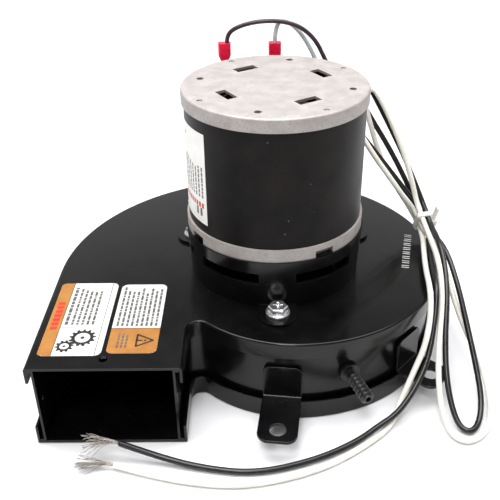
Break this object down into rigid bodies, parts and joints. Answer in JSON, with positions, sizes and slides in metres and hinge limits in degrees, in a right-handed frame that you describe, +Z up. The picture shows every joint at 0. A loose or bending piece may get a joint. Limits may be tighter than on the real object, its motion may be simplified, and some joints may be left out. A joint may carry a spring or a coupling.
{
  "type": "combustion fan",
  "caption": "Scroll housing blower with a forward curved wheel, driven by a cup mounted motor, with run capacitor, pressure tap, mounting feet and loose leads.",
  "frame": {"origin": "on the shaft axis, in the plane of the inlet face under the bottom pan", "axes": "+Z up the shaft towards the motor, -Y out of the outlet, +X away from the outlet side"},
  "size_m": [0.2046, 0.2048, 0.1466],
  "materials": {
    "black_enamel": "gloss black enamel on pressed steel",
    "black_nylon": "black moulded nylon",
    "black_pvc": "wire insulation",
    "black_rubber": "moulded rubber",
    "blue_steel_spring": "spring steel",
    "brown_pvc": "wire insulation",
    "capacitor_aluminium": "drawn can, satin",
    "cast_aluminium": "die cast",
    "copper_winding": "varnished copper wire",
    "electrical_steel": "stacked laminations",
    "felt": "wool felt",
    "galvanised_steel": "warm grey galvanised steel, fine speckle",
    "grey_pvc": "wire insulation",
    "ground_steel": "ground steel",
    "printed_label": "printed film label",
    "red_nylon": "red insulating sleeve",
    "sintered_bronze": "oil filled sintered bronze",
    "tinned_copper": "tinned copper strands",
    "wheel_steel": "aluminised steel sheet",
    "white_nylon": "natural nylon",
    "white_pvc": "wire insulation",
    "zinc_plate": "bright zinc plate"
  },
  "bodies": {
    "base": {"black_lead": "black_pvc", "black_lead_bare_end": "tinned_copper", "bottom_pan": "black_enamel", "cable_tie": "white_nylon", "capacitor_can": "capacitor_aluminium", "capacitor_lead_brown": "brown_pvc", "capacitor_lead_grey": "grey_pvc", "capacitor_strap": "galvanised_steel", "capacitor_terminals": "zinc_plate", "caution_label": "printed_label", "cup_screws": "zinc_plate", "front_foot": "black_enamel", "instruction_label": "printed_label", "lead_connectors": "red_nylon", "lead_grommet": "black_rubber", "lower_bearing": "sintered_bronze", "lower_end_shield": "galvanised_steel", "lower_oil_wick": "felt", "lower_wick_retainer": "blue_steel_spring", "main_winding": "copper_winding", "motor_cup": "black_enamel", "motor_screws": "zinc_plate", "motor_shell": "black_enamel", "nameplate": "printed_label", "pressure_tap": "black_nylon", "rear_foot": "black_enamel", "right_foot": "black_enamel", "scroll_wall": "black_enamel", "start_winding": "copper_winding", "stator_core": "electrical_steel", "strap_screws": "zinc_plate", "tap_nut": "black_enamel", "top_pan": "black_enamel", "upper_bearing": "sintered_bronze", "upper_end_shield": "galvanised_steel", "upper_oil_wick": "felt", "upper_wick_retainer": "blue_steel_spring", "white_lead": "white_pvc", "white_lead_bare_end": "tinned_copper"},
    "rotor": {"cooling_fan": "black_nylon", "hub_set_screw": "ground_steel", "motor_shaft": "ground_steel", "rotor_core": "electrical_steel", "rotor_end_rings": "cast_aluminium", "shaft_slinger": "zinc_plate", "thrust_collars": "ground_steel", "wheel_backplate": "wheel_steel", "wheel_blades": "wheel_steel", "wheel_end_ring": "wheel_steel", "wheel_hub": "ground_steel"}
  },
  "joints": [
    {"name": "shaft_spin", "type": "hinge", "parent": "base", "child": "rotor", "pos_m": [0, 0, 0], "axis": [0, 0, 1], "continuous": true}
  ]
}
